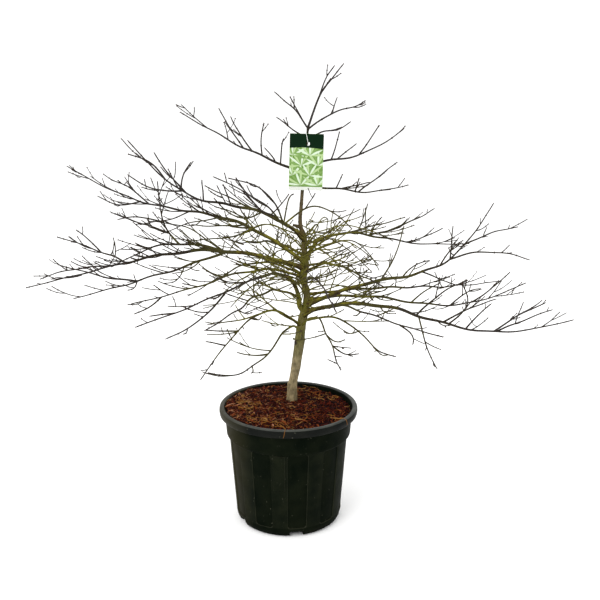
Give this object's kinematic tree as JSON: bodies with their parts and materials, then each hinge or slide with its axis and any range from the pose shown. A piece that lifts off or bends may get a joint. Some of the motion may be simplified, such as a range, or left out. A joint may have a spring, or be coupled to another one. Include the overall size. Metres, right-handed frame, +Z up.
{
  "type": "potted japanese maple",
  "caption": "Bare laceleaf garden tree with a slender leaning trunk and wide tiers of twiggy boughs, in a round black nursery pot with a hanging picture label.",
  "frame": {"origin": "centre of the pot's flat underside", "axes": "+Z up, +X to the right of the front view, -Y towards the viewer"},
  "size_m": [1.2909, 0.9822, 1.162],
  "materials": {
    "pot_plastic": "moulded black-green plastic, satin, scuffed and dusty, paler on the rim",
    "mulch": "damp red-brown shredded bark with ochre fibres",
    "trunk_bark": "smooth pale grey-tan bark with fine cracks, browner higher up",
    "bough_bark": "olive-green algae-dusted bark over dark brown",
    "twig_bark": "dark grey-brown twig bark with darker nodes and buds",
    "label_card": "printed plastic card, dark green band over a pale green leafy pattern",
    "tie_plastic": "thin white plastic strip"
  },
  "bodies": {
    "root": {"pot": "pot_plastic", "soil": "mulch", "trunk": "trunk_bark", "label": "label_card", "label_tie": "tie_plastic", "bough_left_main": "bough_bark", "bough_left_green": "bough_bark", "bough_left_upper": "bough_bark", "bough_left_hub": "bough_bark", "bough_right_main": "bough_bark", "bough_right_low": "bough_bark", "bough_right_mid": "bough_bark", "bough_right_back": "bough_bark", "bough_right_upper": "bough_bark", "bough_low_left": "bough_bark", "bough_droop_left": "bough_bark", "bough_droop_front_left": "bough_bark", "bough_back_left_low": "bough_bark", "bough_front_left": "bough_bark", "bough_right_droop": "bough_bark", "bough_back_right": "bough_bark", "bough_back_left": "bough_bark", "bough_back_mid": "bough_bark", "bough_front_mid": "bough_bark", "bough_front_right": "bough_bark", "twigs_left_main": "twig_bark", "twigs_left_green": "twig_bark", "twigs_left_upper": "twig_bark", "twigs_left_hub": "twig_bark", "twigs_top_left": "twig_bark", "twigs_top_right": "twig_bark", "twigs_label_right": "twig_bark", "twigs_leader": "twig_bark", "twigs_crown_right": "twig_bark", "twigs_crown_left": "twig_bark", "twigs_label_top_left": "twig_bark", "twigs_label_top_right": "twig_bark", "twigs_right_main": "twig_bark", "twigs_right_low": "twig_bark", "twigs_right_mid": "twig_bark", "twigs_right_back": "twig_bark", "twigs_right_upper": "twig_bark", "twigs_low_left": "twig_bark", "twigs_low_front_left": "twig_bark", "twigs_droop_left": "twig_bark", "twigs_droop_front_left": "twig_bark", "twigs_back_left_low": "twig_bark", "twigs_front_left": "twig_bark", "twigs_low_right": "twig_bark", "twigs_low_front_right": "twig_bark", "twigs_right_droop": "twig_bark", "twigs_back_right": "twig_bark", "twigs_back_left": "twig_bark", "twigs_back_mid": "twig_bark", "twigs_front_mid": "twig_bark", "twigs_front_right": "twig_bark"}
  },
  "joints": []
}
